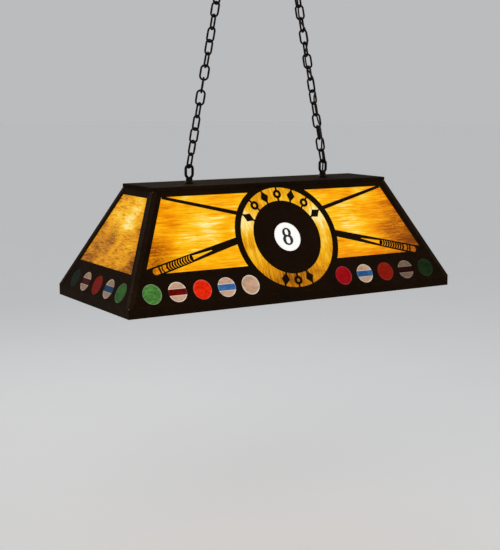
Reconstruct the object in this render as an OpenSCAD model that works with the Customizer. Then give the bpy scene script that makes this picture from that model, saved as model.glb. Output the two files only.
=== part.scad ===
// Pool table lamp: a long steel shade with pierced panels and amber glass,
// hung on two chains from a ceiling canopy. Millimetres, +Z up.
// The origin is on the ceiling, in the middle of the mounting strap's top face.

/* [Shade] */
// Length of the shade along its bottom edge
shade_l = 1219; // [1200:1:1240]
// Width of the shade along its bottom edge
shade_w = 525; // [515:1:540]
// Height of the shade with its cap
shade_h = 370; // [365:1:380]
// Height of the upright skirt below the sloping panels
skirt_h = 31.5; // [28:0.5:34]
// Length of the cap
cap_l = 896; // [880:1:910]
// Width of the cap
cap_w = 212; // [206:1:220]
// Depth of the cap's turned-down lip
cap_lip = 12; // [10:1:14]
// Thickness of the steel sheet
sheet_t = 1.5; // [1:0.1:2]
// Thickness of the glass
glass_t = 3; // [2:0.5:4]

/* [Panels] */
// Steel left beside each long pane, measured level
long_band = 34; // [30:1:40]
// Steel left beside each end pane, measured level
end_band = 29; // [25:1:34]
// Height up the slope where the panes begin
pane_low = 99.5; // [96:0.5:104]
// Height up the slope where the panes end
pane_high = 344; // [338:1:348]
// Height up the slope of the round medallion's centre
ring_s = 186; // [184:1:188]
// Outer radius of the medallion's black ring
ring_r = 192; // [188:1:194]
// Outer radius of its amber ring
amber_r = 171; // [165:1:172]
// Radius of the black ball
ball_r = 125; // [120:1:130]
// Radius of the white number disc
number_r = 49; // [45:1:52]
// Radius of the small ball windows
window_r = 32; // [28:1:34]
// Height up the slope of the ball windows
window_s = 38.5; // [37:0.5:40]
// Spacing of the ball windows
window_step = 86; // [80:1:88]
// Distance of the first window from the middle of a long side
window_first = 179; // [176:1:182]
// Height of the coloured band on a striped ball
stripe_h = 20; // [16:1:24]

/* [Chains] */
// Links in each chain, an odd number
links = 15; // [15]
// Outer length of a link
link_l = 54; // [53:1:55]
// Outer width of a link
link_w = 32; // [31:1:33]
// Wire diameter of a link
link_d = 6.5; // [6:0.5:7]
// Lean of each chain from upright, towards the middle
lean = 11.3; // [10:0.1:12]
// Distance of each lifting loop from the middle of the cap
loop_x = 261.5; // [250:0.5:275]
// Diameter of the cord that is woven through the right chain
cord_d = 5.5; // [5:0.5:5.5]

/* [Canopy] */
// Length of the ceiling canopy
canopy_l = 420; // [400:1:460]
// Width of the ceiling canopy
canopy_w = 120; // [110:1:130]
// Depth of the ceiling canopy
canopy_h = 26.5; // [25:0.5:30]
// Distance between the ceiling box screws
box_screw_step = 88.9; // [88.9:0.1:89]

/* [Lights] */
// Number of bulbs
bulbs = 5; // [5]
// Distance between bulbs
bulb_step = 140; // [130:1:145]

/* [Hidden] */
$fn = 48;

// Shade slopes, seen as flat panels leaning back from the skirt's top edge
lip_z = shade_h - cap_lip;
lip_gap = 1.8;
front_in = shade_w / 2 - (cap_w / 2 - lip_gap);
end_in = shade_l / 2 - (cap_l / 2 - lip_gap);
rise = lip_z - skirt_h;
front_slope = sqrt(front_in * front_in + rise * rise);
end_slope = sqrt(end_in * end_in + rise * rise);
front_tilt = atan2(rise, front_in);
end_tilt = atan2(rise, end_in);
panel_tuck = 9;
hip_inset = 2.5;
glass_back = sheet_t + 0.2;
glass_lap = 8;

// Lifting loops and chain
loop_wire = 9;
loop_w = 34;
loop_h = 49.5;
loop_foot = 13;
loop_top = loop_foot + loop_h - loop_wire / 2;
nipple_r = 6.5;
nipple_l = 12.5;
cord_bore = 4.7;
wire_gap = 0.3;
hook_gap = 0.55;
hook = loop_wire / 2 + link_d / 2 + hook_gap;
pitch = link_l - 2 * link_d - wire_gap;
first_link = -hook + link_l / 2 - link_d / 2;
last_link = first_link + (links - 1) * pitch;
chain_l = last_link + link_l / 2 - link_d / 2 - hook;
upper_x = loop_x - chain_l * sin(lean);
loop_z = shade_h + loop_top;
upper_z = loop_z + chain_l * cos(lean);
drop = upper_z + loop_top + canopy_h;

// How far each link is turned about its chain, from the shade upwards
right_turns = [0, -12, -22, -12, -4, 8, 14, 32, 44, 36, 31, 34, 38, 20, 0];
left_turns = [0, 20, 34, 17, -5, -24, -31, -26, -6, 12, 26, 37, 30, 15, 0];

// Cord route. The end points are [x, y, height above the loop's foot], and the
// points between are [x, y, half links above the lowest link's middle].
cord_end = [[0, 0, -9], [0, 0, 16], [2, 3, 29], [6.5, 8, 44], [7.2, 8.5, 58]];
cord_weave = [
    [7.4, 6.6, 0], [7.2, 6.6, 1], [5, -1, 2], [4.5, -8, 3], [4.5, -8, 5], [5, -1, 6],
    [7.5, 5.5, 7], [7.4, 7.3, 9], [5, 0.5, 10], [8, -5.5, 11], [9.5, -3.5, 13], [4.5, 3, 14],
    [1, 10, 15], [1, 10, 17], [4.5, 3, 18], [10, -2, 19], [10, -2, 21], [4.5, 3, 22],
    [1.5, 10, 23], [3, 9.5, 25], [6.5, 9.5, 27], [6.5, 8.5, 28]
];
cord_sides = 8;
cord_steps = 2;

// ---- Places ----

module in_shade() translate([0, 0, -drop]) children();

// The children's XY plane becomes a sloping face, X level and Y up the slope
module on_slope(half, tilt) translate([0, -half, skirt_h]) rotate([tilt, 0, 0]) children();
module front_face() in_shade() on_slope(shade_w / 2, front_tilt) children();
module rear_face() rotate([0, 0, 180]) front_face() children();
module left_face() rotate([0, 0, -90]) in_shade() on_slope(shade_l / 2, end_tilt) children();
module right_face() rotate([0, 0, 180]) left_face() children();
module long_faces() { front_face() children(); rear_face() children(); }
module end_faces() { left_face() children(); right_face() children(); }

// A layer of a face, from its back depth to its front depth behind the outside
module layer(depth, thick) translate([0, 0, -depth - thick]) linear_extrude(thick) children();

// The chain's own frame, Z along the chain from the shade's lifting loop
module along_chain(side)
    translate([side * loop_x, 0, loop_z - drop]) rotate([0, -side * lean, 0]) children();

module in_pairs(step) for (side = [-1, 1]) translate([side * step, 0]) children();

// ---- Panel patterns, drawn flat ----

function long_half(s) = shade_l / 2 - end_in / front_slope * s;
function end_half(s) = shade_w / 2 - front_in / end_slope * s;

module long_outline() polygon([for (p = [[-1, 0], [1, 0], [1, 1], [-1, 1]])
    let (s = p[1] == 0 ? 0 : front_slope + panel_tuck)
    [p[0] * (long_half(s) - hip_inset), s]]);
module end_outline() polygon([for (p = [[-1, 0], [1, 0], [1, 1], [-1, 1]])
    let (s = p[1] == 0 ? 0 : end_slope + panel_tuck)
    [p[0] * (end_half(s) - hip_inset), s]]);

// The right-hand pane of a long side, grown by lap, outside a circle round the ball
module long_pane(lap, clear_r) difference() {
    polygon([
        [0, pane_low - lap], [long_half(pane_low - lap) - long_band + lap, pane_low - lap],
        [long_half(pane_high + lap) - long_band + lap, pane_high + lap], [0, pane_high + lap]
    ]);
    translate([0, ring_s]) circle(clear_r, $fn = 96);
}
end_pane_low = pane_low + 1.5;
end_pane_high = pane_high - 2;
module end_pane(lap) polygon([for (p = [[-1, 0], [1, 0], [1, 1], [-1, 1]])
    let (s = p[1] == 0 ? end_pane_low - lap : end_pane_high + lap)
    [p[0] * (end_half(s) - end_band + lap), s]]);

// A billiard cue lying up to the right, butt at the origin. Its butt end stands in the solid
// corner of the panel, so the outline starts beyond it.
cue_butt = [-494, 107.5];
cue_tip = [408, 339.5];
cue_angle = atan2(cue_tip[1] - cue_butt[1], cue_tip[0] - cue_butt[0]);
cue_l = norm(cue_tip - cue_butt);
module cue_place() translate(cue_butt) rotate(cue_angle) children();
module cue_outline() {
    polygon([[-60, -30], [0, -16], [75, -15], [285, -11.6], [705, -6.5], [cue_l + 12, -4.8],
        [cue_l + 12, 4.8], [705, 6.5], [285, 11.6], [75, 15], [0, 16], [-60, 17]]);
}
// Openings cut in the butt: end cap, collar, hourglass, grip and long point
butt_cut = 10.2;
grip_first = 45.8;
grip_step = 9.75;
grip_cuts = 9;
grip_curve = 13.5;
grip_stroke = 3.8;
module grip_crescent() intersection() {
    difference() {
        translate([grip_curve, 0]) circle(grip_curve);
        translate([grip_curve + grip_stroke, 0]) circle(grip_curve);
    }
    translate([-1, -butt_cut]) square([2 * grip_curve, 2 * butt_cut]);
}
module cue_windows() {
    circle(butt_cut + 0.6);
    translate([0, -butt_cut]) square([12.5, 2 * butt_cut]);
    polygon([[18, -butt_cut], [25, -butt_cut], [21.3, 0], [25, butt_cut], [18, butt_cut]]);
    polygon([[29, -butt_cut], [42.5, -butt_cut], [38, 0], [42.5, butt_cut], [29, butt_cut],
        [25.6, 0]]);
    for (i = [0:grip_cuts - 1]) translate([grip_first + i * grip_step, 0]) grip_crescent();
    polygon([[138, -7], [213, -1.2], [215, 0], [213, 1.2], [138, 7], [140, 0]]);
}

// Sight marks that carry the ball inside the medallion, diamonds and rings by turns
mark_mid = (ball_r + amber_r) / 2;
mark_tie = 6;
diamond_l = 44;
diamond_w = 30;
dot_r = 15;
dot_bore_r = 6;
upper_first = 30;
upper_step = 20;
upper_count = 7;
lower_first = 252;
lower_step = 18;
lower_count = 3;
module sight_mark(diamond) difference() {
    union() {
        translate([ball_r - 2, -mark_tie / 2]) square([amber_r - ball_r + 4, mark_tie]);
        if (diamond) translate([mark_mid, 0]) polygon([[-diamond_l / 2, 0], [0, -diamond_w / 2],
            [diamond_l / 2, 0], [0, diamond_w / 2]]);
        else translate([mark_mid, 0]) circle(dot_r);
    }
    if (!diamond) translate([mark_mid, 0]) circle(dot_bore_r);
}
module mark_row(first, step, count) for (i = [0:count - 1])
    rotate(first + i * step) sight_mark(i % 2 == 0);
module sight_marks() translate([0, ring_s]) {
    mark_row(upper_first, upper_step, upper_count);
    mark_row(lower_first, lower_step, lower_count);
}

function long_windows() = [for (side = [-1, 1]) for (i = [0:4])
    side * (window_first + i * window_step)];
function end_windows() = [for (i = [-2:2]) i * window_step];

module long_pattern() difference() {
    long_outline();
    difference() {
        for (turn = [0, 1]) mirror([turn, 0]) long_pane(0, ring_r);
        for (turn = [0, 1]) mirror([turn, 0]) cue_place() cue_outline();
    }
    for (turn = [0, 1]) mirror([turn, 0]) cue_place() cue_windows();
    difference() {
        translate([0, ring_s]) circle(amber_r, $fn = 96);
        translate([0, ring_s]) circle(ball_r, $fn = 96);
        sight_marks();
    }
    translate([0, ring_s]) circle(number_r, $fn = 64);
    for (x = long_windows()) translate([x, window_s]) circle(window_r);
}
module end_pattern() difference() {
    end_outline();
    end_pane(0);
    for (x = end_windows()) translate([x, window_s]) circle(window_r);
}

// ---- Shade steelwork ----

metal = "#1c1613";

module front_panel() color(metal) front_face() layer(0, sheet_t) long_pattern();
module rear_panel() color(metal) rear_face() layer(0, sheet_t) long_pattern();
module left_end_panel() color(metal) left_face() layer(0, sheet_t) end_pattern();
module right_end_panel() color(metal) right_face() layer(0, sheet_t) end_pattern();

// The skirt's top edge is bevelled, so that the panels' lower edges stand flat on it
rim_flange = 10;
module fold_bevel() translate([-shade_l, 0, -sheet_t - 0.5]) cube([2 * shade_l, 20, sheet_t + 2]);
module bottom_rim() color(metal) difference() {
    in_shade() difference() {
        translate([-shade_l / 2, -shade_w / 2, 0]) cube([shade_l, shade_w, skirt_h]);
        translate([-shade_l / 2 + sheet_t, -shade_w / 2 + sheet_t, sheet_t])
            cube([shade_l - 2 * sheet_t, shade_w - 2 * sheet_t, skirt_h]);
        translate([-shade_l / 2 + rim_flange, -shade_w / 2 + rim_flange, -1])
            cube([shade_l - 2 * rim_flange, shade_w - 2 * rim_flange, skirt_h]);
    }
    long_faces() fold_bevel();
    end_faces() fold_bevel();
}

// Angle trims over the four hips: a strip on each face, meeting at the corner
trim_leg = 16;
trim_t = 1.2;
trim_over = 1.3;
module trim_strip(half_low, half_high, slope) linear_extrude(trim_t)
    polygon([[half_low - trim_leg, 0.6], [half_low + trim_over, 0.6],
        [half_high + trim_over, slope - trim_t], [half_high - trim_leg, slope - trim_t]]);
module hip_trims() color(metal) for (turn = [0, 180]) rotate([0, 0, turn])
    for (side = [0, 1]) mirror([side, 0, 0]) {
        front_face() trim_strip(long_half(0.6), long_half(front_slope - trim_t), front_slope);
        rotate([0, 0, 180]) left_face() mirror([1, 0, 0])
            trim_strip(end_half(0.6), end_half(end_slope - trim_t), end_slope);
    }

module top_cap() color("#2a1d15") in_shade() difference() {
    translate([-cap_l / 2, -cap_w / 2, lip_z]) cube([cap_l, cap_w, cap_lip]);
    translate([-cap_l / 2 + sheet_t, -cap_w / 2 + sheet_t, lip_z - 1])
        cube([cap_l - 2 * sheet_t, cap_w - 2 * sheet_t, cap_lip + 1 - sheet_t]);
    for (side = [-1, 1]) translate([side * loop_x, 0, lip_z]) cylinder(h = 20, r = nipple_r + 0.2);
}

// Flat bar frame that the four panels' top edges are welded to
frame_bar = 14;
frame_t = 3;
frame_l = cap_l - 18;
frame_w = cap_w - 17;
under_cap = shade_h - sheet_t;
module top_frame() color(metal) in_shade() translate([0, 0, under_cap - frame_t]) difference() {
    translate([-frame_l / 2, -frame_w / 2, 0]) cube([frame_l, frame_w, frame_t]);
    translate([-frame_l / 2 + frame_bar, -frame_w / 2 + frame_bar, -1])
        cube([frame_l - 2 * frame_bar, frame_w - 2 * frame_bar, frame_t + 2]);
}

// ---- Glass ----

amber = "#f0a020";
ring_glass_out = amber_r + glass_lap;
pane_clear_r = ring_glass_out + 1.5;
module pane_glass() layer(glass_back, glass_t) long_pane(glass_lap, pane_clear_r);
module ring_pane() layer(glass_back, glass_t) difference() {
    intersection() {
        translate([0, ring_s]) circle(ring_glass_out, $fn = 96);
        translate([-amber_r * 2, 0]) square([amber_r * 4, front_slope + 3]);
    }
    translate([0, ring_s]) circle(ball_r - glass_lap, $fn = 96);
}
module front_right_glass() color(amber) front_face() pane_glass();
module front_left_glass() color(amber) front_face() mirror([1, 0, 0]) pane_glass();
module front_ring_glass() color(amber) front_face() ring_pane();
module rear_right_glass() color(amber) rear_face() mirror([1, 0, 0]) pane_glass();
module rear_left_glass() color(amber) rear_face() pane_glass();
module rear_ring_glass() color(amber) rear_face() ring_pane();
module left_end_glass() color(amber) left_face() layer(glass_back, glass_t) end_pane(glass_lap);
module right_end_glass() color(amber) right_face() layer(glass_back, glass_t) end_pane(glass_lap);

disc_lap = 5;
module number_glass() color("white") long_faces() layer(glass_back, glass_t)
    translate([0, ring_s]) circle(number_r + disc_lap, $fn = 64);
// The figure 8 stands on the number glass, inside its hole, with tall counters
module counter(low, high, r) {
    for (y = [low + r, high - r]) translate([0, y]) circle(r);
    translate([-r, low + r]) square([2 * r, high - low - 2 * r]);
}
module numerals() color("#101010") long_faces() layer(0.2, sheet_t) translate([0, ring_s + 1])
    difference() {
        union() {
            translate([0, 13.5]) circle(16);
            translate([0, -11]) circle(18.5);
        }
        counter(5, 24.6, 6.4);
        counter(-24, -0.6, 7.8);
    }

window_glass_r = window_r + 4;
module window_disc(x) translate([x, window_s]) circle(window_glass_r);
module band(x, grow) translate([x - 2 * window_r, window_s - stripe_h / 2 - grow])
    square([4 * window_r, stripe_h + 2 * grow]);
module striped_disc(x) difference() { window_disc(x); band(x, 0.1); }
module stripe(x) intersection() { window_disc(x); band(x, -0.1); }
module long_glass() long_faces() layer(glass_back, glass_t) children();
module end_glass() end_faces() layer(glass_back, glass_t) children();
function window(i) = window_first + i * window_step;

module green_ball_glass() color("#3f9a3a") {
    long_glass() in_pairs(window(4)) window_disc(0);
    end_glass() in_pairs(2 * window_step) window_disc(0);
}
module red_ball_glass() color("#e8300f") {
    long_glass() in_pairs(window(2)) window_disc(0);
    end_glass() window_disc(0);
}
module crimson_ball_glass() color("#c00018") long_glass() window_disc(window(0));
module white_ball_glass() color("#efe6d8") {
    long_glass() {
        window_disc(-window(0));
        for (i = [1, 3]) in_pairs(window(i)) striped_disc(0);
    }
    end_glass() in_pairs(window_step) striped_disc(0);
}
module blue_stripes() color("#3a6fb5") {
    long_glass() in_pairs(window(1)) stripe(0);
    end_glass() stripe(window_step);
}
module maroon_stripes() color("#7a0a14") {
    long_glass() in_pairs(window(3)) stripe(0);
    end_glass() stripe(-window_step);
}

// Bent clips: a foot beside the glass on the panel and a tongue over the glass
clip_w = 14;
clip_t = 1.2;
clip_foot = 7;
clip_lap = 5;
clip_play = 0.4;
hold_back = glass_back + glass_t + 0.2;
module clip() {
    translate([-clip_w / 2, clip_play, -hold_back]) cube([clip_w, clip_foot, hold_back - sheet_t]);
    translate([-clip_w / 2, -clip_lap, -hold_back - clip_t])
        cube([clip_w, clip_lap + clip_foot + clip_play, clip_t]);
}
module clip_below(x, s) translate([x, s - glass_lap, 0]) rotate([0, 0, 180]) clip();
module clip_above(x, s) translate([x, s + glass_lap, 0]) clip();
clip_first = 250;
clip_step = 100;
end_clip_step = 120;
module long_clips() {
    for (i = [0:2]) clip_below(clip_first + i * clip_step, pane_low);
    for (i = [0:1]) clip_above(clip_first + i * clip_step, pane_high);
}
module end_clips() {
    for (i = [-1:1]) clip_below(i * end_clip_step, end_pane_low);
    clip_above(0, end_pane_high);
}
module disc_clips() for (a = [55, 125, 235, 305]) translate([0, ring_s]) rotate([0, 0, a])
    translate([number_r + disc_lap, 0, 0]) rotate([0, 0, -90]) clip();
module glass_clips() color("#8a8378") {
    long_faces() { long_clips(); mirror([1, 0, 0]) long_clips(); disc_clips(); }
    end_faces() end_clips();
}

// Two strips behind each row of ball windows, footed on the panel at both ends
rail_w = 6;
rail_apart = 24;
rail_foot = 8;
rail_half = 2 * window_step + 46;
module rail() translate([0, 0, -hold_back]) {
    translate([-rail_half, -rail_w / 2, -clip_t]) cube([2 * rail_half, rail_w, clip_t]);
    in_pairs(rail_half - rail_foot / 2) translate([-rail_foot / 2, -rail_w / 2, 0])
        cube([rail_foot, rail_w, hold_back - sheet_t]);
}
module ball_glass_rails() color("#8a8378") for (side = [-1, 1]) {
    long_faces() in_pairs(window(2)) translate([0, window_s + side * rail_apart, 0]) rail();
    end_faces() translate([0, window_s + side * rail_apart, 0]) rail();
}

// ---- Chains and loops ----

chain_metal = "#15110f";

// A link in its own XZ plane, long way up
module link(length, width, wire) {
    mid = width / 2 - wire / 2;
    for (side = [-1, 1]) translate([side * mid, 0, -(length - width) / 2])
        cylinder(h = length - width, r = wire / 2, $fn = 24);
    for (end = [0, 1]) mirror([0, 0, end]) translate([0, 0, (length - width) / 2])
        rotate([90, 0, 0]) rotate_extrude(angle = 180) translate([mid, 0]) circle(wire / 2, $fn = 24);
}
// Link number n of a chain, counted up from the shade; odd ones stand across the lamp
module chain_link(n, turn) translate([0, 0, first_link + (n - 1) * pitch])
    rotate([0, 0, turn + 90 * (n % 2)]) link(link_l, link_w, link_d);

module right_bottom_link() color(chain_metal) along_chain(1) chain_link(1, right_turns[0]);
module left_bottom_link() color(chain_metal) along_chain(-1) chain_link(1, left_turns[0]);
module right_top_link() color(chain_metal) along_chain(1) chain_link(links, 0);
module left_top_link() color(chain_metal) along_chain(-1) chain_link(links, 0);
module right_chain_links() color(chain_metal) along_chain(1)
    for (n = [2:links - 1]) chain_link(n, right_turns[n - 1]);
module left_chain_links() color(chain_metal) along_chain(-1)
    for (n = [2:links - 1]) chain_link(n, left_turns[n - 1]);

// A lifting loop on its flared foot, with a threaded nipple below the sheet
module lifting_loop() difference() {
    union() {
        translate([0, 0, loop_foot + loop_h / 2]) link(loop_h, loop_w, loop_wire);
        rotate_extrude() polygon([[0, -nipple_l], [nipple_r, -nipple_l], [nipple_r, 0], [16, 0],
            [16, 3], [12.5, 6], [11, 10], [10.5, loop_foot + 3], [0, loop_foot + 3]]);
    }
    translate([0, 0, -nipple_l - 1]) cylinder(h = nipple_l + loop_foot + 12, r = cord_bore);
}
module at_shade_loop(side) translate([side * loop_x, 0, shade_h - drop]) children();
module at_canopy_loop(side)
    translate([side * upper_x, 0, -canopy_h]) rotate([180, 0, 0]) children();
module left_shade_loop() color(chain_metal) at_shade_loop(-1) lifting_loop();
module right_shade_loop() color(chain_metal) at_shade_loop(1) lifting_loop();
module left_canopy_loop() color(chain_metal) at_canopy_loop(-1) lifting_loop();
module right_canopy_loop() color(chain_metal) at_canopy_loop(1) lifting_loop();

nut_h = 5;
washer_t = 2.5;
seat_gap = 0.05;
module nut(bore, flat, height) difference() {
    cylinder(h = height, d = flat / cos(30), $fn = 6);
    translate([0, 0, -1]) cylinder(h = height + 2, r = bore);
}
module shade_loop_washers() color("#8a8378") for (side = [-1, 1]) at_shade_loop(side)
    translate([0, 0, -sheet_t - seat_gap - washer_t]) difference() {
        cylinder(h = washer_t, r = 16);
        translate([0, 0, -1]) cylinder(h = washer_t + 2, r = nipple_r + 0.2);
    }
module shade_loop_nuts() color("#8a8378") for (side = [-1, 1]) at_shade_loop(side)
    translate([0, 0, -sheet_t - 2 * seat_gap - washer_t - nut_h])
        nut(nipple_r + seat_gap, 19, nut_h);
module canopy_loop_nuts() color("#8a8378") for (side = [-1, 1]) at_canopy_loop(side)
    translate([0, 0, -sheet_t - seat_gap - nut_h]) nut(nipple_r + seat_gap, 19, nut_h);

// ---- Cord ----

function cord_in_shade(p) = [loop_x + p[0], p[1], shade_h - drop + p[2]];
function cord_in_canopy(p) = [upper_x + p[0], p[1], -canopy_h - p[2]];
function cord_on_chain(p) =
    let (h = first_link + p[2] * pitch / 2)
    [loop_x + p[0] * cos(lean) - h * sin(lean), p[1],
     loop_z - drop + p[0] * sin(lean) + h * cos(lean)];
cord_route = concat(
    [for (p = cord_end) cord_in_shade(p)],
    [for (p = cord_weave) cord_on_chain(p)],
    [for (i = [len(cord_end) - 1:-1:0]) cord_in_canopy(cord_end[i])]
);
function smooth(a, b, c, d, t) = 0.5 * (2 * b + (c - a) * t + (2 * a - 5 * b + 4 * c - d) * t * t
    + (3 * b - a - 3 * c + d) * t * t * t);
function smooth_route(r) = let (last = len(r) - 1) concat(
    [for (i = [0:last - 1]) for (k = [0:cord_steps - 1])
        smooth(r[max(i - 1, 0)], r[i], r[i + 1], r[min(i + 2, last)], k / cord_steps)],
    [r[last]]);
function unit(v) = v / norm(v);
module swept_tube(path, radius, sides) {
    last = len(path) - 1;
    points = [for (i = [0:last])
        let (along = unit(path[min(i + 1, last)] - path[max(i - 1, 0)]),
             across = unit(cross(along, [0, 1, 0])), up = cross(across, along))
        for (k = [0:sides - 1]) path[i] + radius * (across * cos(360 * k / sides)
            + up * sin(360 * k / sides))];
    faces = concat(
        [[for (k = [0:sides - 1]) k]],
        [for (i = [0:last - 1]) for (k = [0:sides - 1])
            [i * sides + k, (i + 1) * sides + k, (i + 1) * sides + (k + 1) % sides,
             i * sides + (k + 1) % sides]],
        [[for (k = [sides - 1:-1:0]) last * sides + k]]);
    polyhedron(points, faces, convexity = 6);
}
module power_cord() color("#0d0b0a") swept_tube(smooth_route(cord_route), cord_d / 2, cord_sides);

// ---- Canopy ----

canopy_t = 1.5;
corner_r = 12;
module rounded_box(length, width, corner) {
    square([length - 2 * corner, width], center = true);
    square([length, width - 2 * corner], center = true);
    for (x = [-1, 1]) for (y = [-1, 1])
        translate([x * (length / 2 - corner), y * (width / 2 - corner)]) circle(corner);
}
stud_x = 58;
stud_r = 2;
module ceiling_canopy() color(metal) difference() {
    translate([0, 0, -canopy_h]) linear_extrude(canopy_h) rounded_box(canopy_l, canopy_w, corner_r);
    translate([0, 0, canopy_t - canopy_h]) linear_extrude(canopy_h)
        rounded_box(canopy_l - 2 * canopy_t, canopy_w - 2 * canopy_t, corner_r - canopy_t);
    for (side = [-1, 1]) {
        translate([side * upper_x, 0, -canopy_h - 1]) cylinder(h = 10, r = nipple_r + 0.2);
        translate([side * stud_x, 0, -canopy_h - 1]) cylinder(h = 10, r = stud_r + 0.3);
    }
}
strap_l = 134;
strap_w = 25;
strap_t = 2.5;
box_hole_r = 2.5;
module mounting_strap() color("#b0aaa0") difference() {
    translate([-strap_l / 2, -strap_w / 2, -strap_t]) cube([strap_l, strap_w, strap_t]);
    for (side = [-1, 1]) {
        translate([side * box_screw_step / 2, 0, -strap_t - 1])
            cylinder(h = strap_t + 2, r = box_hole_r);
        translate([side * stud_x, 0, -strap_t - 1])
            cylinder(h = strap_t + 2, r = stud_r + seat_gap);
    }
}
stud_out = 7;
module canopy_screws() color("#b0aaa0") for (side = [-1, 1])
    translate([side * stud_x, 0, -canopy_h - stud_out])
        cylinder(h = canopy_h + stud_out - 0.5, r = stud_r);
module canopy_cap_nuts() color(metal) for (side = [-1, 1])
    translate([side * stud_x, 0, -canopy_h]) rotate([180, 0, 0]) difference() {
        union() {
            cylinder(h = 5, d = 9, $fn = 6);
            rotate_extrude() polygon([[0, 0], [3.8, 0], [3.8, 6], [3.2, 8], [1.8, 9.4], [0, 9.8]]);
        }
        translate([0, 0, -1]) cylinder(h = 1 + stud_out + 0.3, r = stud_r + seat_gap);
    }

// ---- Lamp bar, sockets and wires ----

bar_l = 640;
bar_w = 50;
bar_t = 1.5;
bar_lip = 12;
bar_low = under_cap - 21.5;
stem_r = 5;
stem_bore_r = 3.6;
stem_top = bar_low + 7;
socket_top = 288;
function bulb_x(n) = (n - (bulbs + 1) / 2) * bulb_step;
module at_bulbs() for (n = [1:bulbs]) translate([bulb_x(n), 0, 0]) children();
module at_sockets() at_bulbs() translate([0, 0, socket_top]) children();

// Hat-shaped channel welded under the cap, with the wires inside it
module lamp_bar() color("#2b2622") in_shade() difference() {
    rotate([90, 0, 90]) linear_extrude(bar_l, center = true) difference() {
        union() {
            translate([-bar_w / 2, bar_low]) square([bar_w, under_cap - bar_low]);
            translate([-bar_w / 2 - bar_lip, under_cap - bar_t])
                square([bar_w + 2 * bar_lip, bar_t]);
        }
        translate([-bar_w / 2 + bar_t, bar_low + bar_t]) square([bar_w - 2 * bar_t, 30]);
    }
    at_bulbs() translate([0, 0, bar_low - 1]) cylinder(h = 5, r = stem_r + 0.1);
}
stem_sink = 4;
module socket_stems() color("#2b2622") in_shade() at_bulbs()
    translate([0, 0, socket_top - stem_sink]) difference() {
        cylinder(h = stem_top - socket_top + stem_sink, r = stem_r);
        translate([0, 0, -1]) cylinder(h = 100, r = stem_bore_r);
    }
stem_nut_h = 4;
module stem_nuts() color("#8a8378") in_shade() at_bulbs() {
    translate([0, 0, bar_low + bar_t + seat_gap]) nut(stem_r + seat_gap, 15, stem_nut_h);
    translate([0, 0, bar_low - stem_nut_h - seat_gap]) nut(stem_r + seat_gap, 15, stem_nut_h);
}
// Heights in the socket's and the bulb's profiles count from the top of the socket's cap
module socket_caps() color("#2b2622") in_shade() at_sockets() rotate_extrude() polygon([
    [stem_r + seat_gap, 0], [8, 0], [8.5, -4], [13, -6], [17, -10], [18, -16], [18, -22],
    [16.9, -22], [16.9, -16.5], [16, -11.5], [12.5, -8], [stem_r + seat_gap, -6]]);
// Insulating body with the threaded shell and the centre contact inside
module socket_bodies() color("#1b1a19") in_shade() at_sockets() rotate_extrude() polygon([
    [0, -30], [3, -30], [3, -27], [14, -27], [14, -64], [15, -66],
    [16.8, -66], [16.8, -17], [13, -17], [13, -24], [0, -24]]);

// Two wires along the bar, with a drop down each stem to its socket
wire_r = 1.1;
wire_apart = 4.4;
wire_z = bar_low + 8.6;
wire_low = socket_top - 16.5;
module wiring_harness() color("#d8d2c4") in_shade()
    for (side = [-1, 1]) translate([0, side * wire_apart / 2, 0]) {
        translate([bulb_x(1) - wire_r, 0, wire_z]) rotate([0, 90, 0])
            cylinder(h = bulb_x(bulbs) - bulb_x(1) + 2 * wire_r, r = wire_r, $fn = 16);
        at_bulbs() translate([0, 0, wire_low])
            cylinder(h = wire_z - wire_low, r = wire_r, $fn = 16);
    }

// A bulb, cap up: thin envelope and screw base
globe_r = 30;
globe_z = -112;
shell_t = 1.2;
module bulb(n) color("#fff1c8") in_shade() translate([bulb_x(n), 0, socket_top])
    rotate_extrude() difference() {
        union() {
            translate([0, globe_z]) circle(globe_r);
            polygon([[0, -102], [29, -104], [23, -87], [15, -72], [13.2, -65], [13.2, -38],
                [10, -35], [5, -33], [4, -31], [0, -31]]);
        }
        translate([-100, -200]) square([100, 400]);
        translate([0, globe_z]) circle(globe_r - shell_t);
        polygon([[-1, -102], [27.6, -104], [21.8, -87], [13.8, -72], [12, -65], [12, -40],
            [-1, -36]]);
    }
module bulb_1() bulb(1);
module bulb_2() bulb(2);
module bulb_3() bulb(3);
module bulb_4() bulb(4);
module bulb_5() bulb(5);

ceiling_canopy();
mounting_strap();
canopy_screws();
canopy_cap_nuts();
left_canopy_loop();
right_canopy_loop();
canopy_loop_nuts();
left_top_link();
right_top_link();
left_chain_links();
right_chain_links();
left_bottom_link();
right_bottom_link();
power_cord();
left_shade_loop();
right_shade_loop();
shade_loop_nuts();
shade_loop_washers();
top_cap();
top_frame();
front_panel();
rear_panel();
left_end_panel();
right_end_panel();
bottom_rim();
hip_trims();
front_left_glass();
front_right_glass();
front_ring_glass();
rear_left_glass();
rear_right_glass();
rear_ring_glass();
left_end_glass();
right_end_glass();
number_glass();
numerals();
green_ball_glass();
red_ball_glass();
crimson_ball_glass();
white_ball_glass();
blue_stripes();
maroon_stripes();
glass_clips();
ball_glass_rails();
lamp_bar();
socket_stems();
stem_nuts();
socket_caps();
socket_bodies();
wiring_harness();
bulb_1();
bulb_2();
bulb_3();
bulb_4();
bulb_5();
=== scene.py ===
"""Pool table lamp: art glass, chain, cord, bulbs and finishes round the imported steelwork."""
import math
from itertools import product

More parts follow.
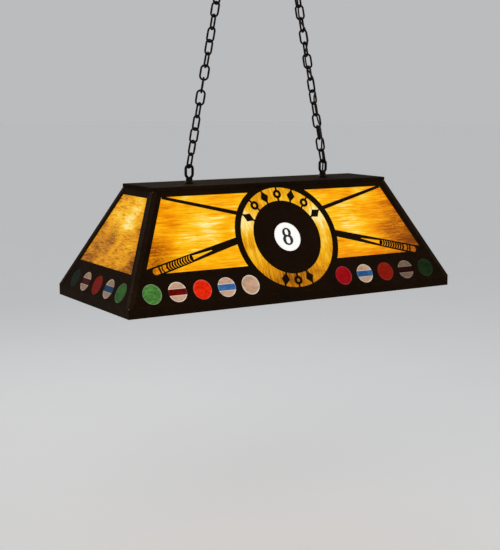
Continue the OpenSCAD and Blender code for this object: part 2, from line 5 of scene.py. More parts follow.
import bmesh
import bpy
from mathutils import Matrix, Vector, noise
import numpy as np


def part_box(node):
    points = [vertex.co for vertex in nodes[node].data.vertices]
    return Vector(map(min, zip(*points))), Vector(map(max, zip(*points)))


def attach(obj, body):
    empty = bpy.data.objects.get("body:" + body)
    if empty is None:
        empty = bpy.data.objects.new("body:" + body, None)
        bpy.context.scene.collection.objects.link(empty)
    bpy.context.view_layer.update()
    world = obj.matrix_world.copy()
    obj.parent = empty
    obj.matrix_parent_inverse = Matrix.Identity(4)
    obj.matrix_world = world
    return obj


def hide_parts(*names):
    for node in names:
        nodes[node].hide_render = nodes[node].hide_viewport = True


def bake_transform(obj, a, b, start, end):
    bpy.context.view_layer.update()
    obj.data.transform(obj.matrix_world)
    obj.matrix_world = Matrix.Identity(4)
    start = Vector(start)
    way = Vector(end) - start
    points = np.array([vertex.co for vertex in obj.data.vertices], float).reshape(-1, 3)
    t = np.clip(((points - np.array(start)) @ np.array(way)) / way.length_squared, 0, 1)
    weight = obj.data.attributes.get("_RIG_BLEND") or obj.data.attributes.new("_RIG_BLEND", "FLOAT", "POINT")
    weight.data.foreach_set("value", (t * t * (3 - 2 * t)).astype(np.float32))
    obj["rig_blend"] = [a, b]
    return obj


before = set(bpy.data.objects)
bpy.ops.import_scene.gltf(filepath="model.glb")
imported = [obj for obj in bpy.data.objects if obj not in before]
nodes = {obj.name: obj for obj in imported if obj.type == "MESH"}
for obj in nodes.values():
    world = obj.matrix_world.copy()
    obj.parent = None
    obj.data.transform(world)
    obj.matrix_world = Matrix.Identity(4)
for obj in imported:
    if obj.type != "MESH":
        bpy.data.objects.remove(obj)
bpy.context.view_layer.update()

MM = 0.001


# ---- Places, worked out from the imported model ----

rim_low, rim_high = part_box("bottom_rim")
cap_low, cap_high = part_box("top_cap")
LIP_GAP = 1.8 * MM
SKIRT_TOP = rim_high.z
GLASS_DEPTH = 1.7 * MM
GLASS_THICK = 3 * MM
RING_S = 186 * MM
WINDOW_S = 38.5 * MM
WINDOW_R = 36 * MM
WINDOW_OPEN_R = 32 * MM
WINDOW_FIRST = 179 * MM
WINDOW_STEP = 86 * MM
STRIPE_H = 20 * MM
NUMBER_R = 54 * MM


class Face:
    """A sloping side of the shade: x runs level along it, s up the slope, depth inwards."""

    def __init__(self, half, half_top, turn):
        rise = cap_low.z - SKIRT_TOP
        inward = half - (half_top - LIP_GAP)
        self.turn = Matrix.Rotation(math.radians(turn), 3, "Z")
        self.origin = Vector((0, -half, SKIRT_TOP))
        self.up = Vector((0, inward, rise)).normalized()
        self.out = Vector((0, -rise, inward)).normalized()

    def at(self, x, s, depth=0.0):
        point = self.origin + Vector((x, 0, 0)) + self.up * s - self.out * depth
        return self.turn @ point

    def direction(self, vector):
        return self.turn @ vector

    def local(self, point):
        flat = self.turn.inverted() @ point - self.origin
        return Vector((flat.x, flat.dot(self.up), -flat.dot(self.out)))


FRONT = Face(rim_high.y, cap_high.y, 0)
REAR = Face(rim_high.y, cap_high.y, 180)
LEFT = Face(rim_high.x, cap_high.x, -90)
RIGHT = Face(rim_high.x, cap_high.x, 90)

BULBS = 5
bulb_boxes = [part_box(f"bulb_{n}") for n in range(1, BULBS + 1)]
BULB_STEP = bulb_boxes[1][0].x - bulb_boxes[0][0].x
BULB_R = (bulb_boxes[0][1].x - bulb_boxes[0][0].x) / 2
BULB_Z = bulb_boxes[0][0].z + BULB_R


# ---- Node helpers ----

def srgb(code):
    """A linear colour from its #rrggbb form."""
    parts = [int(code[i:i + 2], 16) / 255 for i in (1, 3, 5)]
    return tuple(p / 12.92 if p <= 0.04045 else ((p + 0.055) / 1.055) ** 2.4 for p in parts) + (1,)


class Shader:
    """A material with one principled surface, and calls that each add one node."""

    def __init__(self, name, **fixed):
        self.material = bpy.data.materials.new(name)
        self.material.use_nodes = True
        self.tree = self.material.node_tree
        self.tree.nodes.clear()
        self.output = self.tree.nodes.new("ShaderNodeOutputMaterial")
        self.surface = self.tree.nodes.new("ShaderNodeBsdfPrincipled")
        self.tree.links.new(self.surface.outputs[0], self.output.inputs[0])
        for key, value in fixed.items():
            self.set(key.replace("_", " "), value)
        self.place = self.tree.nodes.new("ShaderNodeTexCoord").outputs["Object"]

    def set(self, socket, value):
        self.plug(self.surface.inputs[socket], value)

    def plug(self, socket, value):
        if isinstance(value, bpy.types.NodeSocket):
            self.tree.links.new(value, socket)
        else:
            socket.default_value = value

    def maths(self, operation, *values):
        node = self.tree.nodes.new("ShaderNodeMath")
        node.operation = operation
        for socket, value in zip(node.inputs, values):
            self.plug(socket, value)
        return node.outputs[0]

    def vector(self, operation, *values, out=0):
        node = self.tree.nodes.new("ShaderNodeVectorMath")
        node.operation = operation
        for socket, value in zip(node.inputs, values):
            self.plug(socket, value)
        return node.outputs[out]

    def scaled(self, scale, shift=(0, 0, 0)):
        node = self.tree.nodes.new("ShaderNodeMapping")
        self.plug(node.inputs["Vector"], self.place)
        node.inputs["Scale"].default_value = scale
        node.inputs["Location"].default_value = shift
        return node.outputs[0]

    def noise(self, scale, detail=4, roughness=0.55, distortion=0.0, at=None):
        node = self.tree.nodes.new("ShaderNodeTexNoise")
        self.plug(node.inputs["Vector"], at or self.place)
        for key, value in (("Scale", scale), ("Detail", detail), ("Roughness", roughness),
                           ("Distortion", distortion)):
            node.inputs[key].default_value = value
        return node.outputs["Fac"]

    def spread(self, value, low, high, to_low=0.0, to_high=1.0, smooth=False):
        node = self.tree.nodes.new("ShaderNodeMapRange")
        node.interpolation_type = "SMOOTHSTEP" if smooth else "LINEAR"
        for index, item in enumerate((value, low, high, to_low, to_high)):
            self.plug(node.inputs[index], item)
        return node.outputs[0]

    def ramp(self, value, *stops):
        node = self.tree.nodes.new("ShaderNodeValToRGB")
        self.plug(node.inputs[0], value)
        band = node.color_ramp
        for _ in stops[2:]:
            band.elements.new(0.5)
        for element, (position, colour) in zip(band.elements, stops):
            element.position = position
            element.color = srgb(colour)
        return node.outputs[0]

    def mix(self, share, a, b):
        node = self.tree.nodes.new("ShaderNodeMix")
        node.data_type = "RGBA"
        for socket, value in ((node.inputs[0], share), (node.inputs[6], a), (node.inputs[7], b)):
            self.plug(socket, value)
        return node.outputs[2]

    def attribute(self, name):
        node = self.tree.nodes.new("ShaderNodeAttribute")
        node.attribute_name = name
        return node.outputs["Fac"]

    def bump(self, height, strength, distance):
        node = self.tree.nodes.new("ShaderNodeBump")
        node.inputs["Strength"].default_value = strength
        node.inputs["Distance"].default_value = distance
        self.plug(node.inputs["Height"], height)
        self.set("Normal", node.outputs[0])

    def edges(self, radius):
        """1 on convex or concave edges, falling to 0 on flats."""
        node = self.tree.nodes.new("ShaderNodeBevel")
        node.samples = 4
        node.inputs["Radius"].default_value = radius
        plain = self.tree.nodes.new("ShaderNodeNewGeometry").outputs["Normal"]
        same = self.vector("DOT_PRODUCT", node.outputs[0], plain, out="Value")
        return self.spread(same, 0.99, 0.80)


# ---- Metals and plastics ----

BROWN_SHEEN = (1, 0.72, 0.48, 1)


def aged_steel(name, deep, brown, worn, roughness, shine):
    """Hand-rubbed dark finish on sheet steel, with lighter brown where edges have worn."""
    steel = Shader(name, Metallic=0.12, Specular_IOR_Level=shine, Specular_Tint=BROWN_SHEEN)
    cloud = steel.noise(5, detail=6, roughness=0.6, distortion=0.5)
    mottle = steel.noise(70, detail=5, roughness=0.65)
    grain = steel.noise(900, detail=2)
    rub = steel.noise(1, detail=4, at=steel.scaled((14, 60, 220)))
    tone = steel.maths("MULTIPLY_ADD", mottle, 0.45, steel.maths("MULTIPLY", cloud, 0.6))
    tone = steel.maths("MULTIPLY_ADD", rub, 0.18, tone)
    body = steel.ramp(tone, (0.36, deep), (0.82, brown))
    wear = steel.maths("MULTIPLY", steel.edges(1.1 * MM), steel.spread(mottle, 0.42, 0.62))
    steel.set("Base Color", steel.mix(steel.maths("MULTIPLY", wear, 0.7), body, srgb(worn)))
    steel.set("Roughness", steel.spread(tone, 0.35, 0.85, roughness + 0.1, roughness - 0.08))
    steel.bump(steel.maths("MULTIPLY_ADD", mottle, 0.6, grain), 0.22, 0.25 * MM)
    return steel.material


def plated_steel(name, tone, dull):
    """Bright zinc-plated hardware with spangle and fine scratches."""
    zinc = Shader(name, Metallic=0.9)
    spangle = zinc.noise(120, detail=3, distortion=1.0)
    scratch = zinc.noise(1, detail=2, at=zinc.scaled((2600, 140, 140)))
    zinc.set("Base Color", zinc.mix(zinc.spread(spangle, 0.35, 0.7), srgb(dull), srgb(tone)))
    zinc.set("Roughness", zinc.spread(spangle, 0.3, 0.7, 0.28, 0.46))
    zinc.bump(scratch, 0.08, 0.1 * MM)
    return zinc.material


def moulded(name, colour, light, roughness=0.35):
    """Moulded phenolic or plastic: even colour, faint swirl and fine texture."""
    plastic = Shader(name, IOR=1.5)
    swirl = plastic.noise(45, detail=5, distortion=1.5)
    grain = plastic.noise(1300, detail=1)
    tone = plastic.spread(swirl, 0.4, 0.8)
    plastic.set("Base Color", plastic.mix(tone, srgb(colour), srgb(light)))
    plastic.set("Roughness", plastic.spread(swirl, 0.3, 0.7, roughness - 0.05, roughness + 0.1))
    plastic.bump(grain, 0.1, 0.05 * MM)
    return plastic.material


def braided(name, colour, light):
    """Woven cover of the supply cord: two strand directions in the cord's own winding, coloured darker where
    the strands sink, as painted shade in the grooves.
    """
    cloth = Shader(name, Specular_IOR_Level=0.25, Sheen_Weight=0.15)
    rib = cloth.attribute("braid")
    fuzz = cloth.noise(1800, detail=2)
    # Painted shade: the colour is darker where the braid sinks between strands, over a random fuzz.
    shade = cloth.maths("MULTIPLY_ADD", fuzz, 0.4, cloth.maths("MULTIPLY", rib, 0.7))
    cloth.set("Base Color", cloth.mix(shade, srgb(colour), srgb(light)))
    cloth.set("Roughness", cloth.spread(shade, 0, 1, 0.8, 0.6))
    cloth.bump(shade, 0.35, 0.2 * MM)
    return cloth.material


# ---- Glass ----

HAIR_FINE = 7
HAIR_LONG = 2
# Tones of lit glass from its darkest to its brightest: orange amber, and a duller gold
AMBER = ((0.0, "#7a3600"), (0.2, "#b85e00"), (0.38, "#e58200"), (0.55, "#f89d00"),
         (0.70, "#fbb608"), (0.85, "#fdcc30"), (1.0, "#fff0a0"))
GOLD = ((0.0, "#6a3a02"), (0.2, "#a86406"), (0.38, "#d0860a"), (0.55, "#e8a00c"),
        (0.70, "#f3b81c"), (0.85, "#f9cc54"), (1.0, "#fde694"))


def bulb_distance(shader):
    """Distance from a point to the middle of the nearest bulb."""
    split = shader.tree.nodes.new("ShaderNodeSeparateXYZ")
    shader.plug(split.inputs[0], shader.place)
    column = shader.maths("ROUND", shader.maths("DIVIDE", split.outputs[0], BULB_STEP))
    last = (BULBS - 1) / 2
    column = shader.maths("MAXIMUM", shader.maths("MINIMUM", column, last), -last)
    across = shader.maths("MULTIPLY_ADD", column, -BULB_STEP, split.outputs[0])
    rise = shader.maths("SUBTRACT", split.outputs[2], BULB_Z)
    join = shader.tree.nodes.new("ShaderNodeCombineXYZ")
    for socket, value in zip(join.inputs, (across, split.outputs[1], rise)):
        shader.plug(socket, value)
    return shader.vector("LENGTH", join.outputs[0], out="Value")


def amber_glass(name, tones, face, streak, shift, bright, dim, hot, dim_patch=(0, 0),
                dim_patch_r=1 * MM, spot_r=30 * MM, spot=None):
    """Streaky art glass lit from behind: yellow near the bulbs, darker away from them.
    streak stretches the grain. bright and dim are the tone next to a bulb and far from it. The dim
    patch, given by its middle and reach, is where the glass glows dimmer and browner, with brown
    flecks. hot and spot_r give the glare of each bulb, which shows in front of it, or at spot on a
    sheet whose grain throws it aside."""
    glass = Shader(name, IOR=1.5, Specular_IOR_Level=0.05, Emission_Strength=1.0)
    end_bulb = (BULBS - 1) / 2 * BULB_STEP if face in (LEFT, RIGHT) else 0
    near = face.local(face.direction(Vector((0, -end_bulb, BULB_Z)))).z
    away = bulb_distance(glass)
    beyond = glass.maths("MULTIPLY_ADD", away, away, -near * near)

    def streaks(times, detail, roughness, distortion):
        stretched = glass.scaled(tuple(times * k for k in streak), shift)
        return glass.noise(1, detail, roughness, distortion, at=stretched)

    def distance_to(x, s):
        return glass.vector("DISTANCE", glass.place, face.at(x, s, GLASS_DEPTH), out="Value")

    ribbon = streaks(1, 5, 0.6, 0.4)
    reed = streaks(3.3, 4, 0.7, 0.25)
    flash = streaks(1.7, 3, 0.5, 0.6)
    hair = glass.noise(1, 3, 0.6, 0.1, at=glass.scaled(
        tuple((HAIR_FINE if k == max(streak) else HAIR_LONG) * k for k in streak)))
    cloud = glass.noise(5.5, detail=3, roughness=0.5, distortion=0.8,
                        at=glass.scaled((1, 1, 1.6), shift))
    level = glass.spread(glass.maths("SQRT", beyond), 30 * MM, 240 * MM, bright, dim, smooth=True)
    for grain, weight in ((ribbon, 0.75), (reed, 0.55), (hair, 0.55), (cloud, 1.0)):
        level = glass.maths("MULTIPLY_ADD", glass.maths("SUBTRACT", grain, 0.5), weight, level)
    level = glass.maths("ADD", level, glass.spread(hair, 0.43, 0.28, 0.0, -0.30))
    level = glass.maths("ADD", level, glass.spread(flash, 0.63, 0.74, 0.0, 0.20))
    if spot:
        beyond = glass.maths("POWER", distance_to(*spot), 2.0)
    glare = glass.maths("EXPONENT", glass.maths("DIVIDE", beyond, -spot_r * spot_r))
    glow = glass.spread(ribbon, 0.3, 0.7, 0.6 * hot, 1.2 * hot)
    level = glass.maths("MULTIPLY_ADD", glare, glow, level)
    # Round the dim patch's middle the glass glows dimmer and browner, with brown flecks.
    fleck = glass.noise(1, detail=8, roughness=0.75, distortion=1.2,
                        at=glass.scaled((55, 55, 90), shift))
    near_dim_patch = glass.spread(distance_to(*dim_patch), dim_patch_r, dim_patch_r * 0.15, 0.0, 0.85, smooth=True)
    brown_flecks = glass.maths("MULTIPLY", glass.spread(fleck, 0.40, 0.62), near_dim_patch)
    level = glass.maths("MULTIPLY_ADD", near_dim_patch, -0.16, level)
    tint = glass.ramp(level, *tones)
    tint = glass.mix(brown_flecks, tint, srgb("#6a3b04"))
    glass.set("Emission Color", tint)
    glass.set("Base Color", glass.mix(0.97, tint, srgb("#0a0501")))
    glass.set("Roughness", glass.spread(reed, 0.3, 0.7, 0.16, 0.34))
    glass.bump(glass.maths("MULTIPLY_ADD", ribbon, 2.0, reed), 0.25, 0.6 * MM)
    return glass.material


def window_glass(name, dark, light, rim):
    """Translucent coloured glass of the small ball windows: wisps of two tones, a paler rim
    where the edge catches light, and light leaking past each band's seam."""
    glass = Shader(name, IOR=1.5, Specular_IOR_Level=0.03)
    wisp = glass.noise(1, detail=5, roughness=0.6, distortion=1.2, at=glass.scaled((34, 34, 60)))
    seed = glass.noise(240, detail=3)
    body = glass.mix(glass.spread(glass.maths("MULTIPLY_ADD", seed, 0.3, wisp), 0.46, 0.84),
                     srgb(dark), srgb(light))
    edge = glass.spread(glass.attribute("edge"), 0.86, 0.97, 0.0, 1.0, smooth=True)
    edge = glass.maths("MULTIPLY", edge, glass.spread(wisp, 0.36, 0.56, 0.35, 0.95))
    leak = glass.spread(glass.attribute("seam"), 0.9 * MM, 2.0 * MM, 0.85, 0.0, smooth=True)
    body = glass.mix(glass.maths("MAXIMUM", edge, leak), body, srgb(rim))
    glass.set("Emission Color", body)
    glass.set("Emission Strength", glass.maths("MULTIPLY", glass.attribute("glow"), 0.92))
    glass.set("Base Color", glass.mix(0.98, body, srgb("#030202")))
    glass.set("Roughness", glass.spread(seed, 0.3, 0.7, 0.16, 0.3))
    glass.bump(wisp, 0.15, 0.5 * MM)
    return glass.material


def number_glass():
    """White opal glass, evenly bright, with faint seeds."""
    glass = Shader("opal_glass", IOR=1.5, Emission_Strength=0.43, Specular_IOR_Level=0.3)
    wisp = glass.noise(60, detail=6, roughness=0.7, distortion=0.6)
    body = glass.mix(glass.spread(wisp, 0.4, 0.75), srgb("#fbf9f4"), srgb("#e9e7e2"))
    glass.set("Emission Color", body)
    glass.set("Base Color", body)
    glass.set("Roughness", glass.spread(wisp, 0.3, 0.7, 0.18, 0.3))
    glass.bump(wisp, 0.1, 0.3 * MM)
    return glass.material


def bulb_glow():
    """Frosted bulb envelope: bright and warm, dimmer towards its neck."""
    glass = Shader("frosted_bulb", IOR=1.45, Base_Color=srgb("#f6efe0"), Roughness=0.35)
    split = glass.tree.nodes.new("ShaderNodeSeparateXYZ")
    glass.plug(split.inputs[0], glass.place)
    neck = glass.spread(split.outputs[2], BULB_Z, BULB_Z + 55 * MM, 1.0, 0.0, smooth=True)
    frost = glass.noise(500, detail=2)
    neck = glass.maths("MULTIPLY_ADD", frost, 0.06, neck)
    glass.set("Emission Color", glass.mix(neck, srgb("#ffb45a"), srgb("#ffe9c0")))
    glass.set("Emission Strength", glass.spread(neck, 0.0, 1.0, 0.6, 3.2))
    glass.bump(frost, 0.1, 0.05 * MM)
    return glass.material


# ---- Mesh helpers ----

SPLIT_GAP = 0.002 * MM


def piece(name, mesh, material, body, slot, *replaced):
    """A new piece on a body, standing for CAD nodes."""
    made = bpy.data.objects.new(name, mesh)
    bpy.context.scene.collection.objects.link(made)
    mesh.materials.clear()
    mesh.materials.append(material)
    if body:
        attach(made, body)
    if replaced:
        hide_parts(*replaced)
    return made


def to_mesh(name, work):
    bmesh.ops.recalc_face_normals(work, faces=work.faces)
    for each in work.faces:
        each.smooth = True
    mesh = bpy.data.meshes.new(name)
    work.to_mesh(mesh)
    work.free()
    return mesh


def soften(target, width):
    """Rounds the sharp edges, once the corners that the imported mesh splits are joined."""
    weld = target.modifiers.new("weld", "WELD")
    weld.merge_threshold = SPLIT_GAP
    bevel = target.modifiers.new("soften", "BEVEL")
    bevel.width = width
    bevel.segments = 2
    bevel.limit_method = "ANGLE"
    bevel.angle_limit = math.radians(32)
    bevel.use_clamp_overlap = True
    bevel.harden_normals = True


def finish_node(name, material, width):
    """A CAD node keeps its shape and gets its finish."""
    target = nodes[name]
    for index in range(len(target.data.materials)):
        target.data.materials[index] = material
    if width:
        soften(target, width)


def smooth_by_angle(target, degrees=35):
    """Smooth shading that keeps true corners crisp."""
    split = target.modifiers.new("corners", "EDGE_SPLIT")
    split.split_angle = math.radians(degrees)
    split.use_edge_sharp = False


def grid(work, rows, closed_along=False):
    """Joins rings of points into quads."""
    made = [[work.verts.new(point) for point in row] for row in rows]
    count = len(made[0])
    for i in range(len(made) - (0 if closed_along else 1)):
        upper = made[(i + 1) % len(made)]
        for k in range(count):
            step = (k + 1) % count
            work.faces.new((made[i][k], made[i][step], upper[step], upper[k]))
    return made


def turned(work, profile, sides, place=Matrix.Identity(4)):
    """A closed turning from (radius, height) points, ends on the axis."""
    rows = []
    for radius, height in profile:
        rows.append([place @ Vector((radius * math.cos(math.tau * k / sides),
                                     radius * math.sin(math.tau * k / sides), height))
                     for k in range(sides)])
    made = grid(work, rows)
    for row in (made[0], made[-1]):
        work.faces.new(row)


def curve_through(points, steps):
    """Smooth route through points, by the same rule that the design uses."""
    last = len(points) - 1
    route = []
    for i in range(last):
        a, b = points[max(i - 1, 0)], points[i]
        c, d = points[i + 1], points[min(i + 2, last)]
        for k in range(steps):
            t = k / steps
            route.append(0.5 * (2 * b + (c - a) * t + (2 * a - 5 * b + 4 * c - d) * t * t
                                + (3 * b - a - 3 * c + d) * t * t * t))
    route.append(points[last])
    return route


# ---- Panes ----

PANE_CELL = 11 * MM
PANE_CUT_SLACK = 1e-7
RIPPLE = 0.55 * MM
WAVES_LONG = (26, 40)
WAVES_SHORT = (70, 110)


def rippled_pane(name, source, face, material, seed):
    """A pane's own outline cut into a fine grid, its two faces rolled into soft ripples that
    stay inside the pane's thickness."""
    work = bmesh.new()
    work.from_mesh(nodes[source].data)
    bmesh.ops.remove_doubles(work, verts=work.verts, dist=SPLIT_GAP)
    spots = [face.local(v.co) for v in work.verts]
    level = face.direction(Vector((1, 0, 0)))
    up = face.direction(face.up)
    for axis, along in ((0, level), (1, up)):
        low = min(p[axis] for p in spots)
        high = max(p[axis] for p in spots)
        count = int((high - low) / PANE_CELL)
        for k in range(1, count):
            at = low + (high - low) * k / count
            point = face.at(at, 0) if axis == 0 else face.at(0, at)
            everything = work.verts[:] + work.edges[:] + work.faces[:]
            bmesh.ops.bisect_plane(work, geom=everything, dist=PANE_CUT_SLACK,
                                   plane_co=point, plane_no=along)
    out = face.direction(face.out)
    middle = GLASS_DEPTH + GLASS_THICK / 2
    for v in work.verts:
        spot = face.local(v.co)
        (a, b), (c, d) = WAVES_LONG, WAVES_SHORT
        wave = noise.noise(Vector((spot.x * a, spot.y * b, seed)))
        wave += 0.5 * noise.noise(Vector((spot.x * c, spot.y * d, seed + 9)))
        push = RIPPLE * min(1, max(0, 0.5 + 0.5 * wave))
        v.co += out * (push if spot.z > middle else -push)
    smooth_by_angle(piece(name, to_mesh(name, work), material, "shade", "amber_glass", source))


LONG_STREAK = (7, 7, 85)
END_STREAK = (14, 14, 50)
RING_STREAK = (70, 12, 12)
LEFT_LIGHT = {"bright": 0.78, "dim": 0.50, "hot": 0.05,
              "dim_patch": (-500 * MM, 150 * MM), "dim_patch_r": 110 * MM}
RIGHT_LIGHT = {"bright": 0.78, "dim": 0.30, "hot": 0.16,
               "dim_patch": (478 * MM, 168 * MM), "dim_patch_r": 150 * MM,
               "spot": (263 * MM, 218 * MM), "spot_r": 34 * MM}
RING_LIGHT = {"bright": 0.66, "dim": 0.22, "hot": 0.26, "spot_r": 36 * MM}
END_LIGHT = {"bright": 0.60, "dim": 0.18, "hot": 0.26,
             "dim_patch": (-35 * MM, 197 * MM), "dim_patch_r": 60 * MM,
             "spot": (38 * MM, 268 * MM), "spot_r": 46 * MM}


def build_panes():
    """Every pane in glass of its own, so that no two show the same streaks."""
    seeds = iter(range(1, 20))

    def pane(side, part, tones, face, streak, shift, light):
        amber = amber_glass(f"{side}_{part}_amber", tones, face, streak, shift, **light)
        return f"{side}_{part}_pane", f"{side}_{part}_glass", face, amber

    for side, face, turn in (("front", FRONT, 1), ("rear", REAR, -1)):
        panes = [
            pane(side, "left", AMBER, face, LONG_STREAK, (0.3 * turn, 0.2, 5.6), LEFT_LIGHT),
            pane(side, "right", AMBER, face, LONG_STREAK, (1.7 * turn, 0.9, 7.4), RIGHT_LIGHT),
            pane(side, "ring", GOLD, face, RING_STREAK, (4.2, 0.1 * turn, 0.4), RING_LIGHT)]
        for made in panes:
            rippled_pane(*made, next(seeds))
    for side, face in (("left", LEFT), ("right", RIGHT)):
        made = pane(side, "end", GOLD, face, END_STREAK, (0.4, 2.3, 0.7), END_LIGHT)
        rippled_pane(*made, next(seeds))


# ---- Ball windows ----

DOME = 0.18 * MM
BOW = 0.12 * MM
BOW_GRAIN = 60
BOW_SLICE = WINDOW_R * 900
SEAM = 0.12 * MM
DISC_ROW = 4 * MM
DISC_COLUMNS = 28
DISC_TIP = 0.9995
DISC_LAYERS = ("edge", "seam", "glow")
# The bands' deep colours fade faster than the pale glass as the light gets weaker
BAND_DEPTH = 1.9
HALF_BAND = STRIPE_H / 2
DISC_PARTS = {"whole": (-WINDOW_R, WINDOW_R), "band": (SEAM - HALF_BAND, HALF_BAND - SEAM),
              "over": (HALF_BAND + SEAM, WINDOW_R), "under": (-WINDOW_R, -HALF_BAND - SEAM)}


def lens_disc(work, face, x, part, glow):
    """A glass disc with a softly domed front, or one part of a striped disc."""
    edge, seam, light = (work.verts.layers.float[key] for key in DISC_LAYERS)
    low, high = DISC_PARTS[part]
    rows = max(3, int((high - low) / DISC_ROW) + 2)

    def vertex(px, y, depth):
        v = work.verts.new(face.at(x + px, WINDOW_S + y, depth))
        v[edge] = math.hypot(px, y) / WINDOW_OPEN_R
        v[seam] = abs(y) - HALF_BAND if part in ("over", "under") else WINDOW_R
        v[light] = glow ** BAND_DEPTH if part == "band" else glow
        return v

    front, back = [], []
    for j in range(rows + 1):
        t = 0.5 - 0.5 * math.cos(math.pi * j / rows) if part == "whole" else j / rows
        y = max(-DISC_TIP, min(DISC_TIP, (low + (high - low) * t) / WINDOW_R)) * WINDOW_R
        half = math.sqrt(WINDOW_R ** 2 - y ** 2)
        across = [-half * math.cos(math.pi * i / DISC_COLUMNS) for i in range(DISC_COLUMNS + 1)]
        front.append([])
        for px in across:
            grain = Vector(((x + px) * BOW_GRAIN, y * BOW_GRAIN, BOW_SLICE))
            bow = BOW * abs(noise.noise(grain))
            dome = DOME * (px * px + y * y) / WINDOW_R ** 2
            front[-1].append(vertex(px, y, GLASS_DEPTH + dome + bow))
        back.append([vertex(px, y, GLASS_DEPTH + GLASS_THICK) for px in across])
    walls = [front, back, [front[0], back[0]], [front[-1], back[-1]]]
    walls += [[[row[k] for row in front], [row[k] for row in back]] for k in (0, -1)]
    for wall in walls:
        for a, b in zip(wall, wall[1:]):
            for k in range(len(a) - 1):
                work.faces.new((a[k], a[k + 1], b[k + 1], b[k]))


# How much light comes through the right half's windows, from the medallion outwards, and
# through an end's windows, from the back to the front. Every window of the left half glows at full strength.
RIGHT_GLOW = (0.82, 0.90, 0.28, 0.30, 0.07)
END_GLOW = (0.02, 0.50, 0.19, 0.50, 0.42)


def long_glow(x):
    return RIGHT_GLOW[round((x - WINDOW_FIRST) / WINDOW_STEP)] if x > 0 else 1.0


def end_glow(x):
    return END_GLOW[round(x / WINDOW_STEP) + 2]


def long_windows(*numbers, sides=(-1, 1)):
    return [side * (WINDOW_FIRST + n * WINDOW_STEP) for n in numbers for side in sides]


def window_group(name, node, slot, material, long_xs, end_xs, parts=("whole",)):
    """All the windows of one glass, on the four sides, as one piece."""
    work = bmesh.new()
    for key in DISC_LAYERS:
        work.verts.layers.float.new(key)
    for faces, xs, glow in (((FRONT, REAR), long_xs, long_glow), ((LEFT, RIGHT), end_xs, end_glow)):
        for face, x, part in product(faces, xs, parts):
            lens_disc(work, face, x, part, glow(x))
    smooth_by_angle(piece(name, to_mesh(name, work), material, "shade", slot, node))


def build_windows():
    step = WINDOW_STEP
    green = window_glass("green_window", "#2c5c2a", "#5c9440", "#7d9a72")
    red = window_glass("red_window", "#cc1200", "#fb340a", "#d05848")
    crimson = window_glass("crimson_window", "#8a0108", "#b40a16", "#a83440")
    cream = window_glass("cream_window", "#b08a6c", "#d6b094", "#e8d8cc")
    blue = window_glass("blue_window", "#245088", "#4478ae", "#6488b0")
    maroon = window_glass("maroon_window", "#500302", "#740a06", "#6e2a22")
    window_group("green_ball_windows", "green_ball_glass", "green_glass", green,
                 long_windows(4), (-2 * step, 2 * step))
    window_group("red_ball_windows", "red_ball_glass", "red_glass", red, long_windows(2), (0,))
    window_group("crimson_ball_windows", "crimson_ball_glass", "crimson_glass", crimson,
                 long_windows(0, sides=(1,)), ())
    window_group("cream_ball_segments", "white_ball_glass", "white_glass", cream,
                 long_windows(1, 3), (-step, step), ("over", "under"))
    window_group("cream_ball_windows", "white_ball_glass", "white_glass", cream,
                 long_windows(0, sides=(-1,)), ())
    window_group("blue_stripe_bands", "blue_stripes", "blue_glass", blue,
                 long_windows(1), (step,), ("band",))
    window_group("maroon_stripe_bands", "maroon_stripes", "maroon_glass", maroon,
                 long_windows(3), (-step,), ("band",))


NUMBER_BEVEL = 0.4 * MM
NUMBER_ROUND = 0.5 * MM
NUMBER_DOME = 0.1 * MM
NUMBER_STEPS = 6


def build_number_discs():
    """White glass behind each numeral, bevelled at the back, rounded and domed in front."""
    half = GLASS_THICK / 2
    dome = [(NUMBER_R * k / NUMBER_STEPS, half - NUMBER_DOME * (k / NUMBER_STEPS) ** 2)
            for k in range(NUMBER_STEPS - 1, 0, -1)]
    profile = [(NUMBER_BEVEL, -half), (NUMBER_R - NUMBER_BEVEL, -half),
               (NUMBER_R, -half + NUMBER_BEVEL), (NUMBER_R, half - NUMBER_ROUND),
               (NUMBER_R - NUMBER_ROUND, half - NUMBER_DOME), *dome, (NUMBER_BEVEL, half)]
    for side, face in (("front", FRONT), ("rear", REAR)):
        work = bmesh.new()
        place = Matrix.Translation(face.at(0, RING_S, GLASS_DEPTH + half))
        spin = face.direction(face.out).to_track_quat("Z", "Y").to_matrix().to_4x4()
        turned(work, profile, 72, place @ spin)
        made = piece(f"{side}_number_disc", to_mesh(f"{side}_number_disc", work), opal, "shade",
                     "number_white", "number_glass")
        smooth_by_angle(made, 40)


# ---- Chain ----

LINK_L = 54 * MM
LINK_W = 32 * MM
LINK_D = 6.5 * MM
LEAN = math.radians(11.3)
RIGHT_TURNS = [0, -12, -22, -12, -4, 8, 14, 32, 44, 36, 31, 34, 38, 20, 0]
LEFT_TURNS = [0, 20, 34, 17, -5, -24, -31, -26, -6, 12, 26, 37, 30, 15, 0]
LINKS = len(RIGHT_TURNS)
LINK_STEPS = 64
WIRE_SIDES = 14
WELD_BEAD = 0.30 * MM
WELD_SPREAD = 1.1
WIRE_RUB = 0.06 * MM


def middle(node):
    low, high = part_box(node)
    return (low + high) / 2


def link_path():
    """Centre line of a link in its own XZ plane, evenly spaced, from the weld in one side."""
    arm = (LINK_L - LINK_W) / 2
    bow = (LINK_W - LINK_D) / 2
    whole = 4 * arm + math.tau * bow
    path = []
    for i in range(LINK_STEPS):
        t = whole * i / LINK_STEPS
        turn = 1
        if t >= whole / 2:
            t -= whole / 2
            turn = -1
        if t < arm:
            x, z = bow, t
        elif t < arm + math.pi * bow:
            angle = (t - arm) / bow
            x, z = bow * math.cos(angle), arm + bow * math.sin(angle)
        else:
            x, z = -bow, arm - (t - arm - math.pi * bow)
        path.append(Vector((turn * x, 0, turn * z)))
    return path


